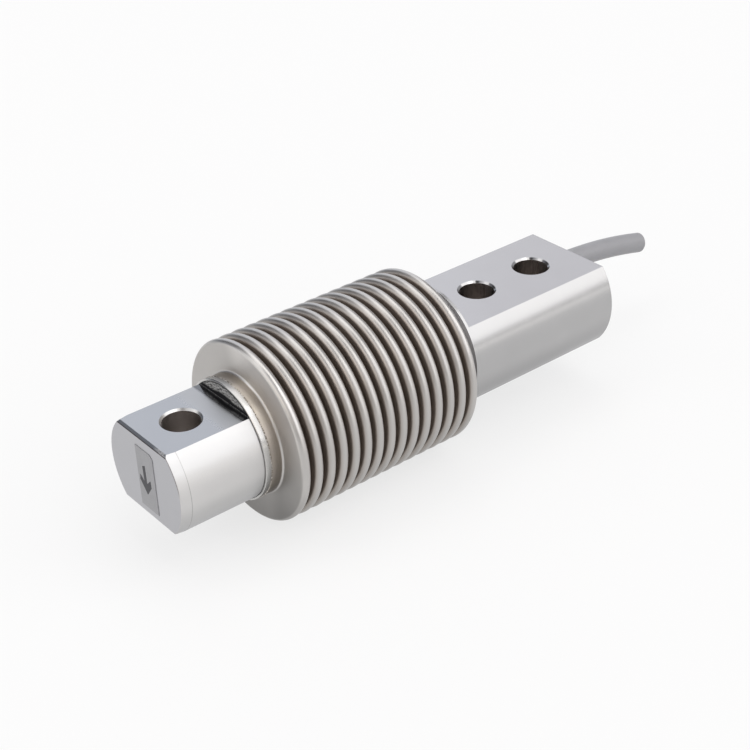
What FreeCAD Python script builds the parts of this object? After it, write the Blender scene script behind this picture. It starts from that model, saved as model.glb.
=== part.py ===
import FreeCAD, Part
import math
import os

import Sketcher
from FreeCAD import Placement, Rotation, Vector

# Bellows load cell: a bending beam with a load lug in front and a mounting lug behind, a welded metal
# bellows over its measuring section, and the gauges, board, wiring and cable gland that it holds.
# +X runs along the beam towards the load end, +Z is up, and the load pulls down. The origin is the
# centre of the two mounting holes on the lower flat of the mounting lug.

# Driving dimensions in millimetres: name, value, meaning
SIZES = [
    ("mount_spacing", "17.5", "distance between the two mounting holes"),
    ("load_arm", "82.0", "load hole to the nearer mounting hole"),
    ("nose", "9.8", "load hole to the front face"),
    ("tail", "12.7", "farther mounting hole to the rear face"),
    ("hole_diameter", "8.2", "load hole and mounting holes"),
    ("hole_chamfer", "0.45", "chamfer at both mouths of those holes"),
    ("flat_gap", "19.6", "distance between the upper and lower flats of both lugs"),
    ("front_lug_diameter", "26.7", "turned diameter of the load lug"),
    ("nose_taper_length", "2.5", "lead-in taper on the round of the load lug"),
    ("nose_taper_depth", "0.3", "how far that taper goes in"),
    ("nose_edge_chamfer", "0.6", "chamfer between the flats and the front face"),
    ("rear_lug_diameter", "30.7", "turned diameter of the mounting lug"),
    ("rear_rim_chamfer", "0.3", "chamfer round the rear face"),
    ("rear_collar", "0.7", "round collar left in front of the rear flats"),
    ("front_step", "10.65", "load hole to the step at the end of the front flats"),
    ("seat_diameter", "26.8", "turned seats that carry the bellows and its rings"),
    ("seat_land", "2.4", "how far each seat runs on under the bellows"),
    ("core_diameter", "23.6", "turned blank of the measuring section"),
    ("bar_width", "13.0", "measuring section between its side flats"),
    ("bar_height", "16.8", "measuring section between the gauge faces"),
    ("front_block", "2.0", "solid stretch before the first gauge hole"),
    ("gauge_hole_diameter", "12.0", "cross holes that thin the beam under the gauges"),
    ("gauge_spacing", "16.0", "distance between those cross holes"),
    ("gauge_slot", "3.0", "slot that joins them"),
    ("ring_length", "1.4", "weld ring along the beam"),
    ("ring_wall", "0.4", "weld ring thickness"),
    ("ring_chamfer", "0.12", "broken outer edges of the weld ring"),
    ("seam_gap", "0.05", "gap that the weld seam fills"),
    ("fit_clearance", "0.05", "radial play between pieces slid on one another"),
    ("cuff_length", "2.4", "plain cuff of the bellows"),
    ("bellows_wall", "0.35", "sheet thickness of the bellows"),
    ("convolution_count", "15", "crests of the bellows"),
    ("convolution_pitch", "3.31", "crest to crest"),
    ("crest_diameter", "41.7", "outside diameter of the bellows"),
    ("crest_radius", "1.12", "outside rounding of a crest"),
    ("label_width", "6.4", "foil label on the front face"),
    ("label_height", "14.7", "foil label on the front face"),
    ("label_thickness", "0.1", "foil label on the front face"),
    ("label_corner", "0.9", "corner cut off the foil label"),
    ("label_shift", "0.6", "label centre sideways from the beam's axis"),
    ("label_drop", "0.3", "label centre below the beam's axis"),
    ("cable_offset", "3.75", "cable axis inwards from the surface of the seats"),
    ("cable_diameter", "5.2", "cable jacket"),
    ("jacket_tail", "4.0", "jacket inside the channel beyond the gland"),
    ("channel_diameter", "5.7", "wiring channel in the mounting lug"),
    ("gland_bore", "9.0", "counterbore for the gland in the rear face"),
    ("gland_depth", "7.0", "depth of that counterbore"),
    ("seal_length", "3.4", "rubber bush in the gland"),
    ("washer_thickness", "0.6", "washer behind the gland screw"),
    ("screw_clearance", "0.2", "radial play of the cable in the washer and the screw"),
    ("screw_slot_width", "1.2", "driver slot across the gland screw"),
    ("screw_slot_depth", "0.9", "driver slot across the gland screw"),
    ("screw_chamfer", "0.3", "outer edge of the gland screw"),
    ("plug_length", "6.0", "sealing compound in the channel's mouth"),
    ("core_wire_diameter", "1.0", "insulated core of the cable"),
    ("core_bundle_offset", "0.75", "core sideways and up from the cable's axis"),
    ("drain_diameter", "0.5", "bare drain wire"),
    ("fan_start", "1.2", "run of the cores beyond the channel before they spread"),
    ("fan_length", "4.2", "stretch over which the cores spread"),
    ("gauge_length", "7.0", "gauge backing along the beam"),
    ("gauge_width", "6.0", "gauge backing across the beam"),
    ("backing_thickness", "0.12", "gauge backing"),
    ("foil_thickness", "0.05", "measuring grid on the backing"),
    ("grid_width", "3.2", "grid strip along the beam"),
    ("grid_strip", "0.3", "width of one grid strip"),
    ("grid_step", "0.6", "strip to strip"),
    ("grid_count", "5", "strips in a grid"),
    ("tab_size", "1.2", "square solder tab"),
    ("tab_spacing", "3.0", "between the two solder tabs"),
    ("tab_offset", "2.0", "tabs sideways from the gauge's middle"),
    ("lead_diameter", "0.3", "wire from a gauge to the board"),
    ("lead_bend", "0.9", "stretch beside a corner that a bend of those wires takes up"),
    ("board_length", "8.5", "terminal board along the beam"),
    ("board_height", "15.2", "terminal board across the beam"),
    ("board_thickness", "1.0", "terminal board"),
    ("board_setback", "1.0", "rear gauge hole to the board"),
    ("terminal_diameter", "0.8", "solder terminal"),
    ("terminal_height", "1.2", "terminal above the board"),
    ("terminal_pitch", "1.8", "terminal to terminal in a column"),
    ("terminal_margin", "1.5", "terminal column to the board's end"),
    ("resistor_length", "2.0", "chip resistor"),
    ("resistor_width", "1.25", "chip resistor"),
    ("resistor_height", "0.6", "chip resistor"),
    ("resistor_spacing", "4.0", "resistor to resistor"),
]

# Route of the free cable, seen from the side: along the beam and up, in millimetres from the cable's exit
CABLE_ROUTE = [(-3.1, 0.0), (-18.1, -0.85), (-30.6, -2.85), (-36.7, -4.41)]

# Share of a run that a bend of the cable takes up at each of its ends
BEND_SHARE = 0.45

doc = FreeCAD.newDocument("bellows_load_cell")
sheet = doc.addObject("Spreadsheet::Sheet", "Sizes")
for row, (alias, number, meaning) in enumerate(SIZES, start=1):
    sheet.set(f"A{row}", meaning)
    sheet.set(f"B{row}", number)
    sheet.setAlias(f"B{row}", alias)
doc.recompute()

# Places along the beam, as expressions of the sheet
AXIS_Z = "(Sizes.flat_gap / 2)"
LOAD_X = "(Sizes.mount_spacing / 2 + Sizes.load_arm)"
FRONT_X = f"({LOAD_X} + Sizes.nose)"
REAR_X = "(-Sizes.mount_spacing / 2 - Sizes.tail)"
STEP_X = f"({LOAD_X} - Sizes.front_step)"
CUFF_X = f"({STEP_X} - Sizes.ring_length - Sizes.seam_gap)"
ROOT_X = f"({CUFF_X} - Sizes.cuff_length)"
CREST_X = f"({ROOT_X} - Sizes.convolution_pitch / 2)"
REAR_ROOT_X = f"({ROOT_X} - Sizes.convolution_count * Sizes.convolution_pitch)"
REAR_CUFF_X = f"({REAR_ROOT_X} - Sizes.cuff_length)"
REAR_RING_X = f"({REAR_CUFF_X} - Sizes.seam_gap - Sizes.ring_length)"
REAR_STEP_X = f"({REAR_RING_X} - Sizes.seam_gap)"
FRONT_SEAT_X = f"({ROOT_X} - Sizes.seat_land)"
REAR_SEAT_X = f"({REAR_ROOT_X} + Sizes.seat_land)"
GAUGE_FRONT_X = f"({FRONT_SEAT_X} - Sizes.front_block - Sizes.gauge_hole_diameter / 2)"
GAUGE_REAR_X = f"({GAUGE_FRONT_X} - Sizes.gauge_spacing)"
BOARD_X = f"({GAUGE_REAR_X} - Sizes.gauge_hole_diameter / 2 - Sizes.board_setback)"
LEAD_PIN_X = f"({BOARD_X} - Sizes.terminal_margin)"
CORE_PIN_X = f"({BOARD_X} - Sizes.board_length + Sizes.terminal_margin)"

# Radii and half widths
FLAT = "(Sizes.flat_gap / 2)"
FRONT_LUG_R = "(Sizes.front_lug_diameter / 2)"
REAR_LUG_R = "(Sizes.rear_lug_diameter / 2)"
SEAT_R = "(Sizes.seat_diameter / 2)"
CORE_R = "(Sizes.core_diameter / 2)"
BAR_Y = "(Sizes.bar_width / 2)"
BAR_Z = "(Sizes.bar_height / 2)"
HOLE_R = "(Sizes.hole_diameter / 2)"
RING_IN_R = f"({SEAT_R} + Sizes.fit_clearance)"
RING_OUT_R = f"({RING_IN_R} + Sizes.ring_wall)"
ROOT_IN_R = f"({SEAT_R} + Sizes.fit_clearance)"
ROOT_R = f"({ROOT_IN_R} + Sizes.bellows_wall)"
ROOT_BEND = "(Sizes.convolution_pitch / 2 - Sizes.crest_radius)"
CREST_MID_R = "(Sizes.crest_diameter / 2 - Sizes.crest_radius)"
CHANNEL_R = "(Sizes.channel_diameter / 2)"
GLAND_R = "(Sizes.gland_bore / 2)"
GLAND_PIECE_R = f"({GLAND_R} - Sizes.fit_clearance)"
CABLE_R = "(Sizes.cable_diameter / 2)"
CABLE_Y = f"(Sizes.cable_offset - {SEAT_R})"
OUTSIDE = "(Sizes.rear_lug_diameter)"
BOARD_Y = f"({BAR_Y} + Sizes.board_thickness)"
PIN_END_Y = f"({BOARD_Y} + Sizes.terminal_height)"


def value(expression):
    """Number that an expression of the size sheet has now."""
    return float(sheet.evalExpression(expression))


def place(piece, x="0", y="0", z="0"):
    """Set a piece down at a place given from the beam's axis."""
    piece.setExpression("Placement.Base.x", x)
    piece.setExpression("Placement.Base.y", y)
    piece.setExpression("Placement.Base.z", f"{AXIS_Z} + {z}")


def new_body(label):
    body = doc.addObject("PartDesign::Body", label)
    body.Label = label
    return body


def new_sketch(body, name, role):
    """Sketch on one of the body's own origin planes."""
    sketch = body.newObject("Sketcher::SketchObject", name)
    plane = next(item for item in body.Origin.OriginFeatures if item.Role == role)
    sketch.AttachmentSupport = [(plane, "")]
    sketch.MapMode = "FlatFace"
    return sketch


def bind(sketch, kind, where, expression):
    """Dimension of a sketch that follows an expression."""
    index = sketch.addConstraint(Sketcher.Constraint(kind, *where, value(expression)))
    sketch.setExpression(f"Constraints[{index}]", expression)


def hold(sketch, geometry, point, x, y):
    """Keep a point of a sketch at the place that two expressions give."""
    sketch_origin = (-1, 1)
    bind(sketch, "DistanceX", (*sketch_origin, geometry, point), x)
    bind(sketch, "DistanceY", (*sketch_origin, geometry, point), y)


def tie(sketch, *points):
    sketch.addConstraint(Sketcher.Constraint("Coincident", *points))


def circle(sketch, x, y, radius):
    shape = Part.Circle(Vector(value(x), value(y), 0), Vector(0, 0, 1), value(radius))
    index = sketch.addGeometry(shape, False)
    hold(sketch, index, 3, x, y)
    bind(sketch, "Radius", (index,), radius)


def arc(sketch, x, y, radius, start, end):
    """Arc of whole quarter turns, run through from start to end in degrees.

    Gives its first and last point, and where they are tied: geometry, first and last point number.
    """
    low, high = sorted((start, end))
    centre = Vector(value(x), value(y), 0)
    round_line = Part.Circle(centre, Vector(0, 0, 1), value(radius))
    curve = Part.ArcOfCircle(round_line, math.radians(low), math.radians(high))
    index = sketch.addGeometry(curve, False)
    hold(sketch, index, 3, x, y)
    bind(sketch, "Radius", (index,), radius)
    for point, angle in ((1, low), (2, high)):
        level = "Horizontal" if angle % 180 == 0 else "Vertical"
        sketch.addConstraint(Sketcher.Constraint(level, index, point, index, 3))
    first, last = (1, 2) if start < end else (2, 1)
    points = {1: curve.StartPoint, 2: curve.EndPoint}
    return points[first], points[last], (index, first, last)


def outline(sketch, items):
    """Closed chain of straight lines through corners (x, y) and arcs (x, y, radius, start, end)."""
    stops = []
    for item in items:
        if len(item) == 2:
            corner = Vector(value(item[0]), value(item[1]), 0)
            stops.append((corner, corner, None))
        else:
            stops.append(arc(sketch, *item))
    lines = []
    for this, following in zip(stops, stops[1:] + stops[:1]):
        lines.append(sketch.addGeometry(Part.LineSegment(this[1], following[0]), False))
    for number, (item, stop) in enumerate(zip(items, stops)):
        before = lines[number - 1]
        after = lines[number]
        if stop[2] is None:
            tie(sketch, before, 2, after, 1)
            hold(sketch, after, 1, *item)
        else:
            index, first, last = stop[2]
            tie(sketch, before, 2, index, first)
            tie(sketch, after, 1, index, last)


def rectangle(sketch, x0, x1, y0, y1):
    outline(sketch, [(x0, y0), (x1, y0), (x1, y1), (x0, y1)])


def axis_line(sketch, x0, y0, x1, y1):
    """Construction line that a groove turns about."""
    ends = Vector(value(x0), value(y0), 0), Vector(value(x1), value(y1), 0)
    index = sketch.addGeometry(Part.LineSegment(*ends), True)
    hold(sketch, index, 1, x0, y0)
    hold(sketch, index, 2, x1, y1)


def turn(body, sketch, name, kind="Revolution", axis="H_Axis"):
    """Full turn of a sketch, as added or as removed material."""
    feature = body.newObject(f"PartDesign::{kind}", name)
    feature.Profile = sketch
    feature.ReferenceAxis = (sketch, [axis])
    feature.Angle = 360
    return feature


def pad(body, sketch, name, length):
    feature = body.newObject("PartDesign::Pad", name)
    feature.Profile = sketch
    feature.setExpression("Length", length)
    return feature


def cut_through(body, sketch, name):
    """Cut to both sides of the sketch, right through the body."""
    feature = body.newObject("PartDesign::Pocket", name)
    feature.Profile = sketch
    feature.Type = "ThroughAll"
    feature.SideType = "Symmetric"
    return feature


def pattern(body, original, sketch, name, pitch, count, axis="H_Axis", backwards=False):
    """Copies of a feature in a row along a sketch axis, pitch apart."""
    feature = body.newObject("PartDesign::LinearPattern", name)
    feature.Originals = [original]
    feature.Direction = (sketch, [axis])
    feature.Reversed = backwards
    feature.Mode = "Spacing"
    feature.setExpression("Offset", pitch)
    feature.setExpression("Occurrences", count)
    body.Tip = feature
    return feature


def add_flat(sketch, side, start, end_x, end_chamfer, outwards):
    """Side view of the material milled off above or below a lug, with the chamfer at its free end."""
    level = f"({side} * {FLAT})"
    lower = f"({side} * ({FLAT} - {end_chamfer}))"
    out = f"({side} * {OUTSIDE})"
    beyond = f"({end_x} + {outwards} * {OUTSIDE})"
    chamfer_x = f"({end_x} - {outwards} * {end_chamfer})"
    outline(sketch, [
        (start, level), (chamfer_x, level), (end_x, lower), (beyond, lower), (beyond, out), (start, out)])


def vertical_hole(body, name, x):
    """Chamfered hole through both flats of a lug."""
    sketch = new_sketch(body, f"{name}_profile", "XZ_Plane")
    mouth_r = f"({HOLE_R} + Sizes.hole_chamfer)"
    neck = f"({FLAT} - Sizes.hole_chamfer)"
    outline(sketch, [
        (x, f"-{OUTSIDE}"), (f"{x} + {mouth_r}", f"-{OUTSIDE}"), (f"{x} + {mouth_r}", f"-{FLAT}"),
        (f"{x} + {HOLE_R}", f"-{neck}"), (f"{x} + {HOLE_R}", neck),
        (f"{x} + {mouth_r}", FLAT), (f"{x} + {mouth_r}", OUTSIDE), (x, OUTSIDE)])
    axis_line(sketch, x, f"-{OUTSIDE}", x, OUTSIDE)
    return sketch, turn(body, sketch, name, "Groove", "Axis0")


def make_measuring_beam():
    body = new_body("measuring_beam")
    blank = new_sketch(body, "blank_profile", "XZ_Plane")
    outline(blank, [
        (REAR_X, "0"),
        (REAR_X, f"{REAR_LUG_R} - Sizes.rear_rim_chamfer"),
        (f"{REAR_X} + Sizes.rear_rim_chamfer", REAR_LUG_R),
        (REAR_STEP_X, REAR_LUG_R),
        (REAR_STEP_X, SEAT_R),
        (REAR_SEAT_X, SEAT_R),
        (REAR_SEAT_X, CORE_R),
        (FRONT_SEAT_X, CORE_R),
        (FRONT_SEAT_X, SEAT_R),
        (STEP_X, SEAT_R),
        (STEP_X, FRONT_LUG_R),
        (f"{FRONT_X} - Sizes.nose_taper_length", FRONT_LUG_R),
        (FRONT_X, f"{FRONT_LUG_R} - Sizes.nose_taper_depth"),
        (FRONT_X, "0")])
    turn(body, blank, "turned_blank")

    lug_flats = new_sketch(body, "lug_flats_outline", "XZ_Plane")
    rear_flat_x = f"({REAR_STEP_X} - Sizes.rear_collar)"
    for side in (1, -1):
        add_flat(lug_flats, side, STEP_X, FRONT_X, "Sizes.nose_edge_chamfer", 1)
        add_flat(lug_flats, side, rear_flat_x, REAR_X, "Sizes.rear_rim_chamfer", -1)
    cut_through(body, lug_flats, "lug_flats")

    gauge_faces = new_sketch(body, "gauge_faces_outline", "XZ_Plane")
    side_faces = new_sketch(body, "side_faces_outline", "XY_Plane")
    for side in (1, -1):
        rectangle(gauge_faces, REAR_SEAT_X, FRONT_SEAT_X, f"{side} * {BAR_Z}", f"{side} * {OUTSIDE}")
        rectangle(side_faces, REAR_SEAT_X, FRONT_SEAT_X, f"{side} * {BAR_Y}", f"{side} * {OUTSIDE}")
    cut_through(body, gauge_faces, "gauge_faces")
    cut_through(body, side_faces, "side_faces")

    cross_holes = new_sketch(body, "cross_holes_outline", "XZ_Plane")
    for x in (GAUGE_FRONT_X, GAUGE_REAR_X):
        circle(cross_holes, x, "0", "Sizes.gauge_hole_diameter / 2")
    cut_through(body, cross_holes, "cross_holes")
    slot = new_sketch(body, "slot_outline", "XZ_Plane")
    rectangle(slot, GAUGE_REAR_X, GAUGE_FRONT_X, "-Sizes.gauge_slot / 2", "Sizes.gauge_slot / 2")
    cut_through(body, slot, "joining_slot")

    vertical_hole(body, "load_hole", LOAD_X)
    hole_sketch, mounting_hole = vertical_hole(body, "mounting_hole", "(-Sizes.mount_spacing / 2)")
    pattern(body, mounting_hole, hole_sketch, "mounting_holes", "Sizes.mount_spacing", "2")

    channel = new_sketch(body, "wiring_channel_profile", "XY_Plane")
    start = f"({REAR_X} - {OUTSIDE})"
    gland_end = f"({REAR_X} + Sizes.gland_depth)"
    outline(channel, [
        (start, CABLE_Y), (start, f"{CABLE_Y} - {GLAND_R}"), (gland_end, f"{CABLE_Y} - {GLAND_R}"),
        (gland_end, f"{CABLE_Y} - {CHANNEL_R}"), (REAR_SEAT_X, f"{CABLE_Y} - {CHANNEL_R}"),
        (REAR_SEAT_X, CABLE_Y)])
    axis_line(channel, start, CABLE_Y, REAR_SEAT_X, CABLE_Y)
    turn(body, channel, "wiring_channel", "Groove", "Axis0")
    place(body)
    return body


def make_bellows():
    """Sheet of even thickness: one convolution turned and repeated, and a plain cuff at each end."""
    body = new_body("bellows")
    wave = new_sketch(body, "convolution_profile", "XZ_Plane")
    root_mid_r = f"({ROOT_R} + {ROOT_BEND})"
    next_root_x = f"({ROOT_X} - Sizes.convolution_pitch)"
    root_inner = f"({ROOT_BEND} + Sizes.bellows_wall)"
    crest_inner = "(Sizes.crest_radius - Sizes.bellows_wall)"
    outline(wave, [
        (ROOT_X, root_mid_r, ROOT_BEND, 270, 180),
        (CREST_X, CREST_MID_R, "Sizes.crest_radius", 0, 180),
        (next_root_x, root_mid_r, ROOT_BEND, 360, 270),
        (next_root_x, root_mid_r, root_inner, 270, 360),
        (CREST_X, CREST_MID_R, crest_inner, 180, 0),
        (ROOT_X, root_mid_r, root_inner, 180, 270)])
    convolution = turn(body, wave, "convolution")
    pattern(body, convolution, wave, "convolutions", "Sizes.convolution_pitch", "Sizes.convolution_count",
            backwards=True)

    front = new_sketch(body, "front_cuff_profile", "XZ_Plane")
    rectangle(front, ROOT_X, CUFF_X, ROOT_IN_R, ROOT_R)
    turn(body, front, "front_cuff")
    rear = new_sketch(body, "rear_cuff_profile", "XZ_Plane")
    rectangle(rear, REAR_CUFF_X, REAR_ROOT_X, ROOT_IN_R, ROOT_R)
    turn(body, rear, "rear_cuff")
    place(body)
    return body


def make_weld_ring(label, x):
    """Backing ring beside a cuff, from x on along the beam."""
    body = new_body(label)
    section = new_sketch(body, "section", "XZ_Plane")
    shoulder_r = f"({RING_OUT_R} - Sizes.ring_chamfer)"
    outline(section, [
        ("0", RING_IN_R), ("Sizes.ring_length", RING_IN_R), ("Sizes.ring_length", shoulder_r),
        ("Sizes.ring_length - Sizes.ring_chamfer", RING_OUT_R),
        ("Sizes.ring_chamfer", RING_OUT_R), ("0", shoulder_r)])
    turn(body, section, "ring")
    place(body, x)
    return body


def make_load_arrow_label():
    """Foil with its upper corner cut off on the side away from the cable."""
    body = new_body("load_arrow_label")
    foil = new_sketch(body, "foil_outline", "YZ_Plane")
    side = "(Sizes.label_width / 2)"
    top = "(Sizes.label_height / 2)"
    outline(foil, [
        (f"-{side}", f"-{top}"), (side, f"-{top}"), (side, f"{top} - Sizes.label_corner"),
        (f"{side} - Sizes.label_corner", top), (f"-{side}", top)])
    pad(body, foil, "foil", "Sizes.label_thickness")
    place(body, FRONT_X, "Sizes.label_shift", "(-Sizes.label_drop)")
    return body


def make_gauge(label, x, side):
    """Foil gauge on the upper (side 1) or lower (side -1) face: backing, grid strips and solder tabs."""
    body = new_body(label)
    backing = new_sketch(body, "backing_outline", "XY_Plane")
    rectangle(backing, "-Sizes.gauge_length / 2", "Sizes.gauge_length / 2",
              "-Sizes.gauge_width / 2", "Sizes.gauge_width / 2")
    pad(body, backing, "backing", "Sizes.backing_thickness")
    foil_top = "Sizes.backing_thickness + Sizes.foil_thickness"
    tabs = new_sketch(body, "tabs_outline", "XY_Plane")
    for end in (-1, 1):
        middle = f"({end} * Sizes.tab_spacing / 2)"
        rectangle(tabs, f"{middle} - Sizes.tab_size / 2", f"{middle} + Sizes.tab_size / 2",
                  "-Sizes.tab_offset - Sizes.tab_size / 2", "-Sizes.tab_offset + Sizes.tab_size / 2")
    pad(body, tabs, "tabs", foil_top)
    strip = new_sketch(body, "strip_outline", "XY_Plane")
    first = "(-Sizes.tab_offset + Sizes.tab_size / 2 + Sizes.grid_strip)"
    rectangle(strip, "-Sizes.grid_width / 2", "Sizes.grid_width / 2", first, f"{first} + Sizes.grid_strip")
    grid_strip = pad(body, strip, "grid_strip", foil_top)
    pattern(body, grid_strip, strip, "grid", "Sizes.grid_step", "Sizes.grid_count", axis="V_Axis")
    if side < 0:
        body.Placement = Placement(Vector(), Rotation(Vector(0, 1, 0), 180))
    place(body, x, "0", f"({side} * {BAR_Z})")
    return body


def terminal_rows(count):
    """Heights of a column of terminals, even about the beam's axis, from the lowest up."""
    return [f"({index - (count - 1) / 2} * Sizes.terminal_pitch)" for index in range(count)]


# One terminal for each lead of the four gauges, and one for each wire of the cable
LEAD_ROWS = terminal_rows(8)
CORE_ROWS = terminal_rows(5)
TERMINALS = [(LEAD_PIN_X, z) for z in LEAD_ROWS] + [(CORE_PIN_X, z) for z in CORE_ROWS]


def make_terminal_board():
    body = new_body("terminal_board")
    board = new_sketch(body, "board_outline", "XZ_Plane")
    rectangle(board, f"{BOARD_X} - Sizes.board_length", BOARD_X,
              "-Sizes.board_height / 2", "Sizes.board_height / 2")
    for x, z in TERMINALS:
        circle(board, x, z, "Sizes.terminal_diameter / 2 + Sizes.fit_clearance")
    pad(body, board, "board", "Sizes.board_thickness")
    place(body, "0", f"-{BAR_Y}")
    return body


def make_group(label, pieces):
    """Several like pieces that share one node."""
    group = doc.addObject("Part::Compound", label)
    group.Label = label
    group.Links = pieces
    return group


def make_solder_terminals():
    pins = []
    for number, (x, z) in enumerate(TERMINALS, start=1):
        pin = doc.addObject("Part::Cylinder", f"terminal_{number}")
        pin.setExpression("Radius", "Sizes.terminal_diameter / 2")
        pin.setExpression("Height", "Sizes.board_thickness + Sizes.terminal_height")
        pin.Placement = Placement(Vector(), Rotation(Vector(1, 0, 0), 90))
        place(pin, x, f"-{BAR_Y}", z)
        pins.append(pin)
    return make_group("solder_terminals", pins)


def make_compensation_resistors():
    middle_x = f"(({LEAD_PIN_X} + {CORE_PIN_X}) / 2)"
    chips = []
    for number in (-1, 0, 1):
        chip = doc.addObject("Part::Box", f"resistor_{number + 2}")
        chip.setExpression("Length", "Sizes.resistor_length")
        chip.setExpression("Width", "Sizes.resistor_height")
        chip.setExpression("Height", "Sizes.resistor_width")
        place(chip, f"{middle_x} - Sizes.resistor_length / 2", f"-{BOARD_Y} - Sizes.resistor_height",
              f"({number} * Sizes.resistor_spacing - Sizes.resistor_width / 2)")
        chips.append(chip)
    return make_group("compensation_resistors", chips)


def bent_path(points, longest_reach=math.inf):
    """Straight runs joined by tangent arcs, each as large as its two runs and the longest reach allow."""
    edges = []
    radii = []
    here = points[0]
    for before, corner, after in zip(points, points[1:], points[2:]):
        back = before - corner
        on = after - corner
        half_turn = (math.pi - back.getAngle(on)) / 2
        reach = min(BEND_SHARE * min(back.Length, on.Length), longest_reach)
        radius = reach / math.tan(half_turn)
        back.normalize()
        on.normalize()
        inwards = (back + on).normalize()
        middle = corner + inwards * (radius / math.cos(half_turn) - radius)
        edges.append(Part.LineSegment(here, corner + back * reach).toShape())
        here = corner + on * reach
        edges.append(Part.Arc(corner + back * reach, middle, here).toShape())
        radii.append(radius)
    edges.append(Part.LineSegment(here, points[-1]).toShape())
    return Part.Wire(edges), radii


def swept_wire(points, diameter, longest_reach=math.inf):
    """Round solid along a bent path, and the radii of its bends."""
    path, radii = bent_path(points, longest_reach)
    ring = Part.Circle(points[0], points[1] - points[0], diameter / 2)
    return path.makePipeShell([Part.Wire(ring.toShape())], True, False), radii


def make_wire_piece(label, solids):
    """Node of one or more wires, given from the beam's axis."""
    piece = doc.addObject("Part::Feature", label)
    piece.Label = label
    piece.Shape = solids[0] if len(solids) == 1 else Part.makeCompound(solids)
    piece.Placement = Placement(Vector(0, 0, value(AXIS_Z)), Rotation())
    return piece


def make_leads(label, gauge_x, side, rows):
    """Two wires from the solder tabs of a gauge, round the beam's edge and along to their terminals."""
    diameter = value("Sizes.lead_diameter")
    tab_y = value("-Sizes.tab_offset")
    foil_top = f"({BAR_Z} + Sizes.backing_thickness + Sizes.foil_thickness)"
    over_z = value(f"{side} * ({foil_top} + Sizes.lead_diameter / 2)")
    beside_y = value(f"-{PIN_END_Y} - Sizes.lead_diameter / 2")
    wires = []
    for end, row in zip((1, -1), rows):
        x = value(f"{gauge_x} + {end} * Sizes.tab_spacing / 2")
        z = value(row)
        route = [Vector(x, tab_y, over_z), Vector(x, beside_y, over_z), Vector(x, beside_y, z),
                 Vector(value(LEAD_PIN_X), beside_y, z)]
        wires.append(swept_wire(route, diameter, value("Sizes.lead_bend"))[0])
    return make_wire_piece(label, wires)


def make_core(label, diameter, across, up, row):
    """Core of the cable, from the jacket's end along the channel and out to its terminal."""
    thickness = value(diameter)
    y = value(f"{CABLE_Y} + {across} * Sizes.core_bundle_offset")
    z = value(f"{up} * Sizes.core_bundle_offset")
    start_x = value(f"{REAR_X} + Sizes.gland_depth + Sizes.jacket_tail")
    fan_x = value(f"{REAR_SEAT_X} + Sizes.fan_start")
    spread_x = fan_x + value("Sizes.fan_length")
    end_y = value(f"-{PIN_END_Y}") - thickness / 2
    end_z = value(row)
    route = [Vector(start_x, y, z), Vector(fan_x, y, z), Vector(spread_x, end_y, end_z),
             Vector(value(CORE_PIN_X), end_y, end_z)]
    return make_wire_piece(label, [swept_wire(route, thickness, value("Sizes.fan_start"))[0]])


def make_potting_plug():
    """Compound that fills the channel's mouth round the cores."""
    body = new_body("potting_plug")
    section = new_sketch(body, "section", "YZ_Plane")
    circle(section, "0", "0", f"{CHANNEL_R} - Sizes.fit_clearance")
    for across in (-1, 1):
        for up in (-1, 1):
            circle(section, f"{across} * Sizes.core_bundle_offset", f"{up} * Sizes.core_bundle_offset",
                   "Sizes.core_wire_diameter / 2 + Sizes.fit_clearance")
    circle(section, "0", "0", "Sizes.drain_diameter / 2 + Sizes.fit_clearance")
    pad(body, section, "filling", "Sizes.plug_length")
    place(body, f"{REAR_SEAT_X} - Sizes.plug_length", CABLE_Y)
    return body


def make_gland_ring(label, bore_r, x, length):
    """Plain round piece of the gland, from x on along the cable."""
    body = new_body(label)
    section = new_sketch(body, "section", "XZ_Plane")
    rectangle(section, "0", length, bore_r, GLAND_PIECE_R)
    turn(body, section, "ring")
    place(body, x, CABLE_Y)
    return body


def make_gland_screw():
    body = new_body("gland_screw")
    length = "(Sizes.gland_depth - Sizes.seal_length - Sizes.washer_thickness)"
    bore_r = f"({CABLE_R} + Sizes.screw_clearance)"
    section = new_sketch(body, "section", "XZ_Plane")
    outline(section, [
        ("0", bore_r), (length, bore_r), (length, GLAND_PIECE_R),
        ("Sizes.screw_chamfer", GLAND_PIECE_R), ("0", f"{GLAND_PIECE_R} - Sizes.screw_chamfer")])
    turn(body, section, "hollow_screw")
    slot = new_sketch(body, "slot_outline", "XZ_Plane")
    rectangle(slot, f"-{GLAND_R}", "Sizes.screw_slot_depth", f"-{GLAND_R}", GLAND_R)
    driver_slot = body.newObject("PartDesign::Pocket", "driver_slot")
    driver_slot.Profile = slot
    driver_slot.SideType = "Symmetric"
    driver_slot.setExpression("Length", "Sizes.screw_slot_width")
    place(body, REAR_X, CABLE_Y)
    return body


def make_cable():
    """Jacket from inside the channel, through the gland and out to its cut end."""
    exit_x = value(REAR_X)
    y = value(CABLE_Y)
    inner_x = value(f"{REAR_X} + Sizes.gland_depth + Sizes.jacket_tail")
    route = [Vector(inner_x, y, 0)] + [Vector(exit_x + along, y, up) for along, up in CABLE_ROUTE]
    solid, radii = swept_wire(route, value("Sizes.cable_diameter"))
    print("cable bend radii in mm:", [round(radius, 1) for radius in radii])
    return make_wire_piece("cable", [solid])


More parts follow.
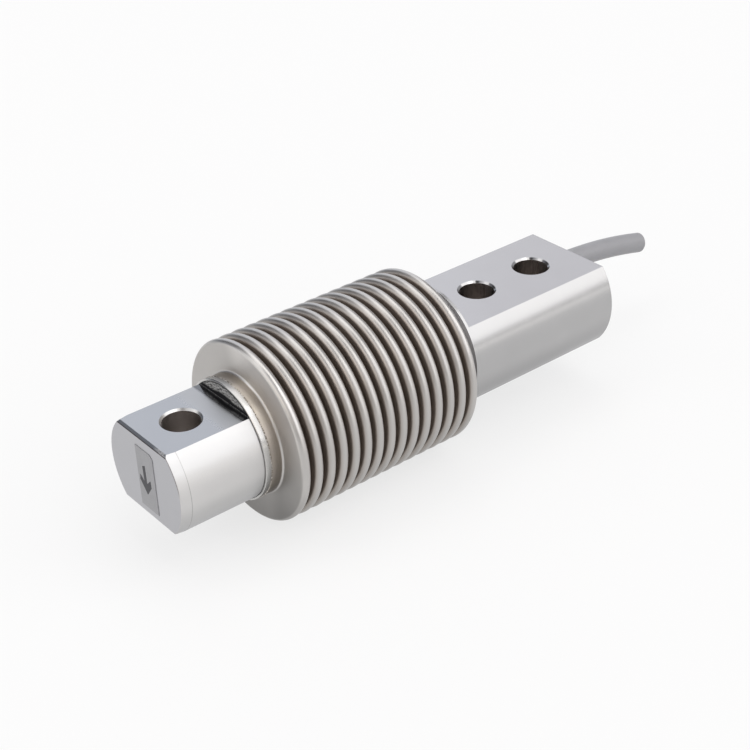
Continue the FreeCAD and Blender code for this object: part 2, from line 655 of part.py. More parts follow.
def build_nodes():
    """Every separate piece of the load cell, in the order of assembly."""
    # From the middle of the board outwards, so that the longer leads pass inside the shorter ones
    upper = LEAD_ROWS[4:]
    lower = LEAD_ROWS[3::-1]
    core = "Sizes.core_wire_diameter"
    seal_x = f"({REAR_X} + Sizes.gland_depth - Sizes.seal_length)"
    washer_x = f"({seal_x} - Sizes.washer_thickness)"
    cable_hole_r = f"({CABLE_R} + Sizes.screw_clearance)"
    return [
        make_measuring_beam(),
        make_gauge("gauge_upper_front", GAUGE_FRONT_X, 1),
        make_gauge("gauge_upper_rear", GAUGE_REAR_X, 1),
        make_gauge("gauge_lower_front", GAUGE_FRONT_X, -1),
        make_gauge("gauge_lower_rear", GAUGE_REAR_X, -1),
        make_terminal_board(),
        make_solder_terminals(),
        make_compensation_resistors(),
        make_leads("leads_upper_front", GAUGE_FRONT_X, 1, upper[:2]),
        make_leads("leads_upper_rear", GAUGE_REAR_X, 1, upper[2:]),
        make_leads("leads_lower_front", GAUGE_FRONT_X, -1, lower[:2]),
        make_leads("leads_lower_rear", GAUGE_REAR_X, -1, lower[2:]),
        make_core("core_excitation_plus", core, -1, 1, CORE_ROWS[4]),
        make_core("core_signal_plus", core, 1, 1, CORE_ROWS[3]),
        make_core("shield_drain", "Sizes.drain_diameter", 0, 0, CORE_ROWS[2]),
        make_core("core_signal_minus", core, 1, -1, CORE_ROWS[1]),
        make_core("core_excitation_minus", core, -1, -1, CORE_ROWS[0]),
        make_potting_plug(),
        make_bellows(),
        make_weld_ring("front_weld_ring", f"({STEP_X} - Sizes.ring_length)"),
        make_weld_ring("rear_weld_ring", REAR_RING_X),
        make_gland_ring("cable_seal", f"{CABLE_R} + Sizes.fit_clearance", seal_x, "Sizes.seal_length"),
        make_gland_ring("seal_washer", cable_hole_r, washer_x, "Sizes.washer_thickness"),
        make_gland_screw(),
        make_cable(),
        make_load_arrow_label(),
    ]


def check(nodes):
    """Stop before anything is written if a feature failed or a piece isn't a sound solid."""
    for item in doc.Objects:
        if "Invalid" in item.State or "Error" in item.State:
            raise RuntimeError(f"{item.Name} failed: {item.State}")
    for node in nodes:
        if node.Shape.isNull() or not node.Shape.isValid() or not node.Shape.Solids:
            raise RuntimeError(f"{node.Label} has no sound shape")


nodes = build_nodes()
doc.recompute()
check(nodes)
os.makedirs("parts", exist_ok=True)
for node in nodes:
    node.Shape.exportStep(f"parts/{node.Label}.step")
    print(f"{node.Label}: {len(node.Shape.Solids)} solid(s), {node.Shape.Volume:.2f} mm3")
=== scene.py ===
"""Looks of a bellows load cell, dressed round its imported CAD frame.

The load lug points along +X, the mounting lug and its cable along -X, and the polished flats
face up and down. Shapes are written in millimetres and scaled to metres once they are placed.
"""
import math

import bmesh
import bpy
from mathutils import Matrix, Vector, noise


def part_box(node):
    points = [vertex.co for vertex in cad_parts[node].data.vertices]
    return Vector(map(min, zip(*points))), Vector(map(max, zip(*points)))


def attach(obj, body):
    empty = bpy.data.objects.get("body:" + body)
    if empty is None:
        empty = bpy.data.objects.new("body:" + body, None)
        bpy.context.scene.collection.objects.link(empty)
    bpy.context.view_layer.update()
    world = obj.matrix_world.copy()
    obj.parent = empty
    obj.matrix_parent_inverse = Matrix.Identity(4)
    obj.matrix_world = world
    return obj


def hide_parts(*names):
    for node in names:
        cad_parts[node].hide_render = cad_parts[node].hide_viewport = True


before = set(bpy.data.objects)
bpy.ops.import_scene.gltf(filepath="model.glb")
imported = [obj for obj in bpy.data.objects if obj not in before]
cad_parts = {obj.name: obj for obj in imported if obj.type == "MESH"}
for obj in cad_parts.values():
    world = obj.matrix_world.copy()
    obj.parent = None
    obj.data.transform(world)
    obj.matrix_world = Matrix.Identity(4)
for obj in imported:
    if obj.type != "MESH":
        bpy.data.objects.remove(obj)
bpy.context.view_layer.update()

MM = 0.001
AXIS_Z = 9.8
BODY = "root"

# The beam along X: lug ends, flats, holes and the step in front of the bellows. MOUTH_R is just past
# the holes' chamfers. The front chamfer slopes at 45 degrees, so it faces as far forward as up.
FRONT_X = 100.55
FRONT_CHAMFER = 0.60
FRONT_CHAMFER_FACING = 0.707
NOSE_TAPER_X = 98.05
STEP_X = 80.10
LOAD_HOLE_X = 90.75
MOUNTING_HOLES_X = (8.75, -8.75)
HOLE_R = 4.1
MOUTH_R = 4.6
FLAT_HEIGHT = 9.8
FRONT_LUG_R = 13.35

# The bellows: cuffs and convolutions, measured on the outside of the sheet. Crests sit up to
# UNEVENNESS forward of even spacing, and the lean puts the most of it a little behind the middle.
CUFF_X = 78.65
ROOT_X = 76.25
ROOT_R = 13.8
CREST_R = 20.85
CREST_BEND = 1.12
PITCH = 3.31
CONVOLUTIONS = 15
ROOT_BEND = PITCH / 2 - CREST_BEND
SHEET = 0.35
UNEVENNESS = 0.33
UNEVENNESS_LEAN = 1.3
REAR_ROOT_X = ROOT_X - CONVOLUTIONS * PITCH
REAR_CUFF_X = REAR_ROOT_X - (CUFF_X - ROOT_X)

# How finely the turned pieces are cut, and how near points are merged: where two bends meet, and
# where a turn closes.
CREST_SEGMENTS = 7
ROOT_SEGMENTS = 5
BELLOWS_STEPS = 128
SEAM_STEPS = 240
SEAM_SIDES = 8
BEND_GAP = 0.12
TOUCHING = 1e-5

# The weld seams stand a little proud of the cuffs' ends. Lumps of two sizes make them uneven.
SEAM_R = 0.16
SEAM_PROUD = 0.02
COARSE_LUMPS = 1.6
FINE_LUMPS = 4.1
FINE_SHARE = 0.7
LUMP_HEIGHT = 0.55

# The arrow on the foil, from its tip, across and up from the beam's axis.
ARROW_RAISE = 0.03
ARROW_OUTLINE = [
    (0.35, -4.04), (2.19, -1.55), (2.04, 0.16), (0.55, -1.27), (0.48, 3.15),
    (-0.52, 2.70), (-0.39, -1.02), (-1.75, 0.14), (-2.04, -1.21),
]

# The cable, as the part's source routes it: x and z from its inner end to the cut. Its length is in
# metres.
CABLE_D = 5.2
CABLE_Y = -9.65
CABLE_ROUTE = [
    (-10.45, 9.80),
    (-24.55, 9.80),
    (-39.55, 8.95),
    (-52.05, 6.95),
    (-58.15, 5.39),
]

# The floor, just clear of the bellows. Its size is in metres.
FLOOR_GAP = 0.02
FLOOR_Z = AXIS_Z - CREST_R - FLOOR_GAP
FLOOR_SIZE = 8.0
FLOOR_PAPER = (0.70, 0.70, 0.70)
FLOOR_WHITE_SHARE = 0.72

# The camera, fitted to the three holes and the edges of the photograph. Its place is in metres.
CAMERA_PLACE = (0.221292, 0.229652, 0.188625)
CAMERA_RIGHT = Vector((-0.77151, 0.63539, -0.03236))
CAMERA_UP = Vector((-0.35373, -0.38611, 0.85194))
LENS_MM = 73.055
SENSOR_MM = 36.0
PICTURE_PX = 750

# Steel of the beam, by place.
POLISHED_FLAT = (0.427, 0.432, 0.444)
# Painted reflection of the step wall, on the flat in front of it.
FLAT_WALL_REFLECTION = (0.10, 0.10, 0.105)
END_FACE = (0.455, 0.455, 0.475)
LOAD_SIDE = (0.515, 0.511, 0.509)
# The waist colour is a painted highlight, and the belly colours are painted shade.
LOAD_WAIST_HIGHLIGHT = (0.625, 0.615, 0.610)
LOAD_BELLY_SHADE = (0.430, 0.430, 0.440)
MOUNTING_SIDE = (0.447, 0.444, 0.445)
MOUNTING_BELLY_SHADE = (0.294, 0.292, 0.296)
BORE_DARK = (0.46, 0.420, 0.400)
BORE_LIGHT = (0.55, 0.520, 0.500)
# The milled wall's near-black is painted shade; the bright colour serves its streaks and a painted
# highlight at its foot.
MILLED_WALL_SHADE = (0.030, 0.029, 0.032)
MILLED_STREAK_AND_HIGHLIGHT = (0.52, 0.52, 0.51)
CHAMFER_DARK = (0.17, 0.18, 0.20)
CHAMFER_NEAR_CORNER = (0.42, 0.42, 0.43)
# Painted shade in a line at the nose taper and on the upper front rim.
TAPER_SHADE = (0.16, 0.155, 0.15)
RIM_SHADE = (0.07, 0.06, 0.06)

# Sheet of the bellows, rings and weld.
CREST_SHEET = (0.510, 0.495, 0.480)
# Painted shade in the gaps: warm brown, darker at the bottom and on the flanks.
GAP_WARM_SHADE = (0.57, 0.490, 0.425)
GAP_BOTTOM_SHADE = (0.27, 0.215, 0.182)
FLANK_SHADE = (0.29, 0.247, 0.214)
CUFF_STRAW = (0.33, 0.294, 0.235)
CUFF_BROWN = (0.32, 0.28, 0.258)
RING_DARK = (0.50, 0.49, 0.475)
RING_LIGHT = (0.54, 0.535, 0.525)
WELD_PIT = (0.10, 0.09, 0.08)
WELD_LUMP = (0.66, 0.64, 0.61)
WELD_STRAW = (0.42, 0.33, 0.22)

# Foil, ink and jacket, each with the colour that it drifts to.
FOIL = (0.288, 0.291, 0.304)
FOIL_PALE = (0.326, 0.329, 0.342)
INK = (0.030, 0.030, 0.036)
INK_PALE = (0.055, 0.055, 0.062)
JACKET = (0.236, 0.236, 0.248)
JACKET_PALE = (0.270, 0.270, 0.284)

# Zones of the studio: first and last azimuth, lowest and highest elevation and softness of the edges,
# all in degrees, then the colour of the light.
ZONES = {
    "camera_side_wall": (26, 84, 6, 56, 6, (0.75, 0.72, 0.70)),
    "near_panel_right": (84, 122, 9.5, 62, 4, (2.05, 2.05, 2.07)),
    "near_panel_left": (122, 160, 9.5, 62, 4, (1.92, 1.90, 1.89)),
    "near_foot_right": (84, 122, -8, 5, 3, (1.85, 1.80, 1.72)),
    "near_foot_left": (122, 160, -8, 5, 3, (1.72, 1.70, 1.66)),
    "back_wall": (160, 205, 5, 56, 6, (0.45, 0.45, 0.47)),
    "far_panel_left": (214, 233, 5, 60, 5, (1.07, 1.05, 1.08)),
    "far_panel_right": (233, 265, 5, 60, 8, (0.95, 0.99, 1.07)),
    "far_gap": (294, 314, 5, 60, 6, (0.15, 0.15, 0.17)),
    "front_panel_far": (314, 340, 5, 60, 6, (1.50, 1.50, 1.50)),
    "front_panel_low": (340, 386, 8, 30, 6, (1.75, 1.62, 1.50)),
    "front_panel_high": (340, 386, 30, 60, 6, (1.10, 1.10, 1.12)),
    "far_foot": (205, 340, -8, 5, 8, (0.20, 0.28, 0.38)),
    "ceiling": (58, 342, 56, 100, 7, (1.90, 1.88, 1.85)),
}
ROOM = (0.10, 0.10, 0.105)


class Value:
    """A number in a finish's node tree. Arithmetic on it adds Math nodes."""

    def __init__(self, finish, socket):
        self.finish = finish
        self.socket = socket

    def __add__(self, other):
        return self.finish.math("ADD", self, other)

    def __radd__(self, other):
        return self.finish.math("ADD", other, self)

    def __sub__(self, other):
        return self.finish.math("SUBTRACT", self, other)

    def __rsub__(self, other):
        return self.finish.math("SUBTRACT", other, self)

    def __mul__(self, other):
        return self.finish.math("MULTIPLY", self, other)

    def __rmul__(self, other):
        return self.finish.math("MULTIPLY", other, self)

    def __pow__(self, other):
        return self.finish.math("POWER", self, other)

    def __abs__(self):
        return self.finish.math("ABSOLUTE", self)


class Finish:
    """Node tree of one finish. Its places are in millimetres on the object."""

    def __init__(self, tree):
        self.tree = tree
        self.kept = {}

    def node(self, kind, settings=None, sockets=None, out=0):
        """A new node: its settings come first, then the values or links of its sockets."""
        made = self.tree.nodes.new(kind)
        for name, setting in (settings or {}).items():
            setattr(made, name, setting)
        for name, given in (sockets or {}).items():
            self.feed(made.inputs[name], given)
        return Value(self, made.outputs[out])

    def feed(self, socket, given):
        """Links a value to the socket, or sets its number or colour."""
        if isinstance(given, Value):
            self.tree.links.new(given.socket, socket)
        elif isinstance(given, tuple) and socket.type == "RGBA":
            socket.default_value = (*given, 1.0)
        else:
            socket.default_value = given

    def math(self, operation, first, second=None):
        sockets = {0: first}
        if second is not None:
            sockets[1] = second
        return self.node("ShaderNodeMath", {"operation": operation}, sockets)

    def vector_math(self, operation, first, second, out=0):
        sockets = {0: first, "Scale" if operation == "SCALE" else 1: second}
        return self.node("ShaderNodeVectorMath", {"operation": operation}, sockets, out)

    def rise(self, value, low, high):
        """Goes smoothly from 0 at low to 1 at high."""
        return self.node("ShaderNodeMapRange", {"interpolation_type": "SMOOTHSTEP"},
                         {"Value": value, "From Min": low, "From Max": high})

    def near(self, value, centre, width, edge):
        """One within width of centre, fading over edge."""
        return 1 - self.rise(abs(value - centre), width, width + edge)

    def mix(self, amount, first, second):
        """The first colour where amount is 0, the second where it is 1."""
        return self.node("ShaderNodeMix", {"data_type": "RGBA"}, {0: amount, 6: first, 7: second}, 2)

    def tint(self, colour, amount):
        """The colour made lighter or darker by a number."""
        return self.vector_math("SCALE", colour, amount)

    def once(self, name, make):
        """The value of that name, made at its first use."""
        if name not in self.kept:
            self.kept[name] = make()
        return self.kept[name]

    def place(self):
        """Place on the object, in millimetres."""
        return self.once("place", lambda: self.vector_math(
            "SCALE", self.node("ShaderNodeTexCoord", out="Object"), 1 / MM))

    def along(self, axis):
        """Place along one axis."""
        return self.once(axis, lambda: self.node("ShaderNodeSeparateXYZ", None, {0: self.place()}, axis))

    def facing(self, axis):
        """How far the surface faces along one axis, from -1 to 1."""
        return self.once("facing" + axis, lambda: self.node(
            "ShaderNodeSeparateXYZ", None, {0: self.node("ShaderNodeNewGeometry", out="Normal")}, axis))

    def from_axis(self):
        """Distance from the beam's axis."""
        def make():
            y = self.along("Y")
            z = self.along("Z") - AXIS_Z
            return (y * y + z * z) ** 0.5
        return self.once("from_axis", make)

    def noise(self, scale, detail=3.0, roughness=0.6, stretch=(1, 1, 1)):
        """About scale grains to the millimetre, drawn out along the axes where stretch is small."""
        spread = self.vector_math("MULTIPLY", self.place(), tuple(s * scale for s in stretch))
        return self.noise_at(spread, detail, roughness)

    def noise_at(self, place, detail, roughness):
        return self.node("ShaderNodeTexNoise", None,
                         {"Vector": place, "Scale": 1.0, "Detail": detail, "Roughness": roughness})

    def drift(self, scale):
        """Soft noise for slow changes of colour."""
        return self.noise(scale, detail=2.0, roughness=0.5)

    def bump(self, height, strength, distance_mm):
        return self.node("ShaderNodeBump", None,
                         {"Strength": strength, "Distance": distance_mm * MM, "Height": height})


def new_finish(name):
    material = bpy.data.materials.new(name)
    material.use_nodes = True
    finish = Finish(material.node_tree)
    return material, finish, material.node_tree.nodes["Principled BSDF"]


def coat(finish, shader, **inputs):
    """Feeds the shader's sockets, named with underscores."""
    for name, given in inputs.items():
        finish.feed(shader.inputs[name.replace("_", " ").title()], given)


def distance_from_holes(finish):
    """Distance from the axis of the nearest bolt hole."""
    y = finish.along("Y")
    nearest = None
    for hole_x in (LOAD_HOLE_X, *MOUNTING_HOLES_X):
        away = finish.along("X") - hole_x
        distance = (away * away + y * y) ** 0.5
        nearest = distance if nearest is None else finish.math("MINIMUM", nearest, distance)
    return nearest


def lug_sides(finish, up, load_lug):
    """Colour of the turned sides: painted highlight at the load lug's waist, painted shade lower on
    both.
    """
    # Painted highlight round the load lug's waist, and painted shade towards both lugs' undersides.
    waist_highlight = finish.near(up, 1.5, 1.5, 5.0)
    load_belly_shade = 1 - finish.rise(up, -11.5, -4.0)
    load_side = finish.mix(load_belly_shade, finish.mix(waist_highlight, LOAD_SIDE, LOAD_WAIST_HIGHLIGHT), LOAD_BELLY_SHADE)
    mounting_belly_shade = 1 - finish.rise(up, -9.5, -1.0)
    mounting_side = finish.mix(mounting_belly_shade, MOUNTING_SIDE, MOUNTING_BELLY_SHADE)
    return finish.mix(load_lug, mounting_side, load_side)


def milling_marks_and_foot_highlight(finish, up, specks):
    """Marks in arcs on the step wall: their height, their bright streaks and a painted highlight along
    the wall's foot.
    """
    radius = finish.from_axis()
    around = finish.math("ARCTAN2", up, finish.along("Y")) * FRONT_LUG_R
    arc_place = finish.node("ShaderNodeCombineXYZ", None, {0: radius * 4.5, 1: around * 0.8})
    arcs = finish.noise_at(arc_place, detail=5.0, roughness=0.7)
    streak = finish.rise(arcs + 0.25 * specks, 0.53, 0.67) * finish.near(radius, 12.3, 0.6, 0.6)
    streak = streak * finish.rise(up - FLAT_HEIGHT, 0.7, 1.3)
    foot_highlight = finish.near(up, FLAT_HEIGHT + 0.14, 0.04, 0.08) * finish.rise(specks, 0.35, 0.55)
    return arcs, streak, foot_highlight


def polished_stainless():
    """The beam: mirror flats, turned lug sides, drilled bores and a rough milled step wall, with painted
    light and shade.
    """
    material, finish, shader = new_finish("polished_stainless")
    x, y, z = (finish.along(axis) for axis in "XYZ")
    up = z - AXIS_Z
    forward = finish.facing("X")
    upright = abs(finish.facing("Z"))
    flat = finish.rise(upright, 0.97, 0.995)
    endwise = finish.rise(abs(forward), 0.93, 0.99)
    load_lug = finish.rise(x, STEP_X - 0.1, STEP_X + 0.1) * (1 - flat) * (1 - endwise)
    from_hole = distance_from_holes(finish)
    bore = 1 - finish.rise(from_hole, HOLE_R + 0.01, HOLE_R + 0.03)
    mouth = (1 - finish.rise(from_hole, MOUTH_R, MOUTH_R + 0.1)) * (1 - bore) * (1 - flat)
    wall = finish.near(x, STEP_X, 0.03, 0.03) * finish.rise(forward, 0.6, 0.9)
    chamfer_x = FRONT_X - FRONT_CHAMFER
    front_chamfer = finish.rise(x, chamfer_x - 0.02, chamfer_x + 0.02)
    for facing in (forward, upright):
        front_chamfer = front_chamfer * finish.near(facing, FRONT_CHAMFER_FACING, 0.1, 0.1)

    cloud = finish.noise(0.12, roughness=0.55)
    turned = finish.noise(6.0, stretch=(1, 0.02, 0.02))
    ground = finish.noise(9.0, stretch=(0.03, 1, 0.03))
    brushed = finish.noise(4.0, stretch=(0.05, 1, 1))
    drilled = finish.noise(5.0, stretch=(0.25, 0.25, 1))
    specks = finish.noise(3.0, detail=4.0, roughness=0.7)
    arcs, streak, foot_highlight = milling_marks_and_foot_highlight(finish, up, specks)

    # In front of the step wall the flat has a painted dark reflection of the wall near its foot, and is
    # scuffed.
    ahead = x - STEP_X
    wall_reflection = flat * finish.rise(ahead, -0.05, 0.02) * (1 - finish.rise(ahead + 0.5 * specks, 1.7, 2.3))
    scuffed = flat * finish.rise(ahead, 1.0, 2.4) * (1 - finish.rise(ahead + 5 * specks, 7.0, 10.5))

    colour = finish.mix(flat, lug_sides(finish, up, load_lug), POLISHED_FLAT)
    colour = finish.mix(0.75 * wall_reflection, colour, FLAT_WALL_REFLECTION)
    colour = finish.mix(endwise, colour, END_FACE)
    colour = finish.tint(colour, 0.96 + 0.08 * cloud)
    colour = finish.mix(bore, colour, finish.mix(drilled, BORE_DARK, BORE_LIGHT))
    streaks_and_foot_highlight = finish.math("MAXIMUM", streak, 0.8 * foot_highlight)
    # The step wall is painted near-black as shade, with milling streaks and the painted foot highlight
    # on it.
    colour = finish.mix(wall, colour, finish.mix(streaks_and_foot_highlight, MILLED_WALL_SHADE, MILLED_STREAK_AND_HIGHLIGHT))

    # The front edges: a chamfer, lighter and rougher towards the near corner, painted shade in a thin
    # line where the nose tapers, and painted shade on the rim's upper part.
    near_corner = finish.rise(y + 3 * specks, 5.6, 8.2) * finish.rise(specks, 0.35, 0.6)
    colour = finish.mix(front_chamfer, colour, finish.mix(near_corner, CHAMFER_DARK, CHAMFER_NEAR_CORNER))
    broken = finish.rise(specks + 0.2 * cloud, 0.38, 0.60)
    taper_shade = load_lug * finish.near(x, NOSE_TAPER_X, 0.03, 0.06) * broken
    rim_shade = load_lug * finish.rise(x, FRONT_X - 0.22, FRONT_X - 0.10) * finish.rise(up, 0.5, 4.5)
    colour = finish.mix(0.55 * taper_shade, colour, TAPER_SHADE)
    colour = finish.mix(0.8 * rim_shade, colour, RIM_SHADE)

    rough = 0.19 + 0.07 * turned + 0.05 * cloud
    rough = rough + flat * (0.02 * ground - 0.09) + load_lug * (0.09 + 0.08 * brushed)
    rough = rough + 0.26 * scuffed
    rough = rough + endwise * 0.06 + wall * 0.25 - mouth * 0.13 + front_chamfer * (0.05 + 0.3 * near_corner)
    metal = 1 - 0.5 * wall * streak - 0.4 * front_chamfer * near_corner

    side = (1 - flat) * (1 - bore)
    height = side * (turned + load_lug * (1.6 * brushed - turned)) + ground * flat * 0.3
    height = height + wall * (arcs + 0.5 * specks) * 24
    coat(finish, shader, base_color=colour, metallic=metal, roughness=rough,
         normal=finish.bump(height, 0.25, 0.003))
    return material


def bellows_stainless():
    """Drawn sheet: satin crests, gaps browned and darkened with painted shade, cuffs tinted by the
    welding heat and matt end discs.
    """
    material, finish, shader = new_finish("bellows_stainless")
    x, y, z = (finish.along(axis) for axis in "XYZ")
    up = z - AXIS_Z
    radius = finish.from_axis()
    endwise = abs(finish.facing("X"))
    from_middle = abs(x - (ROOT_X + REAR_ROOT_X) / 2)
    half = (ROOT_X - REAR_ROOT_X) / 2
    last_crest = half - PITCH / 2

    gap = 1 - finish.rise(from_middle, last_crest - 0.3, last_crest)
    deep = gap * (1 - finish.rise(radius, CREST_R - 1.8, CREST_R - 0.15))
    bottom_shade = gap * (1 - finish.rise(radius, CREST_R - 2.4, CREST_R - 0.35))
    flank_shade = gap * finish.rise(endwise, 0.25, 0.90)
    disc = (1 - gap) * finish.rise(endwise, 0.80, 0.95)
    cuff = 1 - finish.rise(radius, ROOT_R + 0.02, ROOT_R + 0.12)
    cuff = cuff * finish.rise(from_middle, half - 0.3, half)

    cloud = finish.noise(0.18, roughness=0.55)
    drawn = finish.noise(4.5, stretch=(1, 0.06, 0.06))
    grain = finish.drift(14.0)
    heat = finish.drift(0.35)

    # Painted shade: warm brown deep in the gaps, darker at their bottoms and on the crests' flanks.
    colour = finish.mix(deep, CREST_SHEET, GAP_WARM_SHADE)
    colour = finish.mix(bottom_shade, colour, GAP_BOTTOM_SHADE)
    colour = finish.mix(0.45 * flank_shade, colour, FLANK_SHADE)
    colour = finish.mix(0.9 * cuff, colour, finish.mix(heat, CUFF_STRAW, CUFF_BROWN))

    # Painted light and shade: the discs are painted lighter above and darker low down, and painted shade
    # darkens the sheet on the crests' shoulders and towards the underside.
    disc_light = finish.rise(y + 0.3 * up, 0.0, 6.0) * finish.rise(up, -2.0, 8.0)
    disc_shade = finish.rise(y, 6.0, 12.0) * (1 - finish.rise(up, -6.0, 2.0))
    shoulder_shade = gap * finish.near(up, 14.5, 2.5, 4.5) * (1 - finish.rise(endwise, 0.2, 0.4))
    underside_shade = 1 - finish.rise(up, -19.0, -3.0)
    colour = finish.tint(colour, 1 + disc * (0.32 * disc_light - 0.25 * disc_shade))
    colour = finish.tint(colour, 1 - 0.2 * shoulder_shade)
    colour = finish.tint(colour, (0.93 + 0.14 * cloud) * (1 - underside_shade * (0.42 - 0.18 * gap)))

    rough = 0.27 + 0.03 * gap + 0.17 * disc + 0.08 * cloud + 0.06 * drawn + 0.1 * deep
    coat(finish, shader, base_color=colour, metallic=1 - 0.35 * deep, roughness=rough,
         normal=finish.bump(drawn + 0.4 * grain, 0.2, 0.004))
    return material


def ring_stainless():
    """Turned rings and gland pieces: brighter than the sheet, with turning marks."""
    material, finish, shader = new_finish("ring_stainless")
    cloud = finish.noise(0.25, roughness=0.55)
    turned = finish.noise(7.0, stretch=(1, 0.05, 0.05))
    colour = finish.tint(finish.mix(cloud, RING_DARK, RING_LIGHT), 0.93 + 0.14 * turned)
    coat(finish, shader, base_color=colour, metallic=1.0, roughness=0.17 + 0.08 * turned + 0.05 * cloud,
         normal=finish.bump(turned, 0.25, 0.004))
    return material


def weld_metal():
    """Seam left by the welding torch: bright lumps, dark pits and a straw tint."""
    material, finish, shader = new_finish("weld_metal")
    pits = finish.noise(3.0, detail=4.0, roughness=0.65)
    colour = finish.mix(finish.rise(pits, 0.40, 0.62), WELD_PIT, WELD_LUMP)
    colour = finish.mix(0.35 * finish.drift(0.5), colour, WELD_STRAW)
    coat(finish, shader, base_color=colour, metallic=1.0, roughness=0.22 + 0.3 * pits,
         normal=finish.bump(pits, 0.6, 0.04))
    return material


def grey_foil():
    """Foil sign on the front face, with a fine printed grain."""
    material, finish, shader = new_finish("grey_foil")
    grain = finish.noise(7.0)
    colour = finish.tint(finish.mix(finish.drift(0.35), FOIL, FOIL_PALE), 0.94 + 0.12 * grain)
    coat(finish, shader, base_color=colour, roughness=0.42 + 0.12 * grain,
         normal=finish.bump(grain, 0.15, 0.01))
    return material


def arrow_ink():
    """Dark grey print, a little uneven."""
    material, finish, shader = new_finish("arrow_ink")
    grain = finish.noise(5.0)
    coat(finish, shader, base_color=finish.mix(grain, INK, INK_PALE), roughness=0.45 + 0.15 * grain)
    return material


def grey_jacket():
    """Matt cable jacket, with a faint extrusion grain along it."""
    material, finish, shader = new_finish("grey_jacket")
    grain = finish.noise(6.0, stretch=(0.08, 1, 1))
    colour = finish.tint(finish.mix(finish.drift(0.25), JACKET, JACKET_PALE), 0.93 + 0.14 * grain)
    coat(finish, shader, base_color=colour, roughness=0.36 + 0.14 * grain,
         normal=finish.bump(grain, 0.15, 0.02))
    return material


def plain_finish(name, colour, roughness, metallic=0.0):
    """A sealed-in piece's finish, with a little change of colour and gloss over it."""
    material, finish, shader = new_finish(name)
    change = 0.16
    grain = finish.noise(4.0)
    darker = tuple(part * (1 - change) for part in colour)
    shade = finish.tint(finish.mix(finish.drift(0.4), colour, darker), 1 - change / 2 + change * grain)
    coat(finish, shader, base_color=shade, metallic=metallic, roughness=roughness * (0.85 + 0.3 * grain),
         normal=finish.bump(grain, 0.12, 0.01))
    return material


def mesh_from(bm, name, material):
    """The finished bmesh as a mesh with one material."""
    mesh = bpy.data.meshes.new(name)
    bm.to_mesh(mesh)
    bm.free()
    mesh.materials.append(material)
    return mesh


def in_scene(name, data):
    """A new object at the origin."""
    thing = bpy.data.objects.new(name, data)
    bpy.context.scene.collection.objects.link(thing)
    return thing


def finished_piece(name, bm, material, smooth=True):
    """Turns a bmesh in millimetres into a piece that rides on the cell."""
    bmesh.ops.scale(bm, vec=(MM, MM, MM), verts=bm.verts)
    for face in bm.faces:
        face.smooth = smooth
    piece = in_scene(name, mesh_from(bm, name, material))
    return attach(piece, BODY)


def wire(bm, points):
    """A chain of edges through points of (along the beam, distance from its axis)."""
    verts = [bm.verts.new((x, 0.0, AXIS_Z + r)) for x, r in points]
    for first, second in zip(verts, verts[1:]):
        bm.edges.new((first, second))
    return verts


def round_corners(bm, verts, radius, segments):
    """Bends the chain of edges at those corners."""
    bmesh.ops.bevel(bm, geom=verts, affect="VERTICES", offset=radius, offset_type="OFFSET",
                    segments=segments, profile=0.5, material=-1, clamp_overlap=False)


def turn_about_beam(bm, steps):
    """Turns the chain of edges once round the beam's axis."""
    bmesh.ops.spin(bm, geom=bm.verts[:] + bm.edges[:], cent=(0, 0, AXIS_Z), axis=(1, 0, 0),
                   angle=2 * math.pi, steps=steps, use_merge=True)
    bmesh.ops.remove_doubles(bm, verts=bm.verts, dist=TOUCHING)
    bmesh.ops.recalc_face_normals(bm, faces=bm.faces)


def make_bellows(material):
    """The sheet: a square meander, its corners rounded into crests and roots, turned about the beam."""
    bm = bmesh.new()
    points, crests, roots = [(CUFF_X, ROOT_R)], [], []
    for number in range(CONVOLUTIONS):
        part_way = (number / (CONVOLUTIONS - 1)) ** UNEVENNESS_LEAN
        crest_x = ROOT_X - PITCH * (number + 0.5) + UNEVENNESS * math.sin(math.pi * part_way) ** 2
        for side in (1, -1):
            wall_x = crest_x + side * CREST_BEND
            heights = (ROOT_R, CREST_R) if side == 1 else (CREST_R, ROOT_R)
            for height in heights:
                (roots if height == ROOT_R else crests).append(len(points))
                points.append((wall_x, height))
    points.append((REAR_CUFF_X, ROOT_R))

    verts = wire(bm, points)
    crest_verts = [verts[index] for index in crests]
    root_verts = [verts[index] for index in roots]
    round_corners(bm, crest_verts, CREST_BEND, CREST_SEGMENTS)
    round_corners(bm, root_verts, ROOT_BEND, ROOT_SEGMENTS)
    bmesh.ops.remove_doubles(bm, verts=bm.verts, dist=BEND_GAP)
    turn_about_beam(bm, BELLOWS_STEPS)
    bmesh.ops.solidify(bm, geom=bm.faces[:], thickness=SHEET)
    piece = finished_piece("convoluted_bellows", bm, material)
    weighted = piece.modifiers.new("even_walls", "WEIGHTED_NORMAL")
    weighted.keep_sharp = True
    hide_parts("bellows")


def make_weld_seam(name, x, material):
    """A thin uneven run of weld round the end of a cuff."""
    bm = bmesh.new()
    upright = Matrix.Translation((x, 0, AXIS_Z + ROOT_R)) @ Matrix.Rotation(math.pi / 2, 4, "X")
    bmesh.ops.create_circle(bm, segments=SEAM_SIDES, radius=SEAM_R, matrix=upright)
    turn_about_beam(bm, SEAM_STEPS)
    for vert in bm.verts:
        lump = noise.noise(vert.co * COARSE_LUMPS) + FINE_SHARE * noise.noise(vert.co * FINE_LUMPS)
        out = Vector((vert.co.x - x, 0, 0))
        across = Vector((0, vert.co.y, vert.co.z - AXIS_Z))
        out += across.normalized() * (across.length - ROOT_R)
        vert.co += out * (LUMP_HEIGHT * lump)
    finished_piece(name, bm, material)


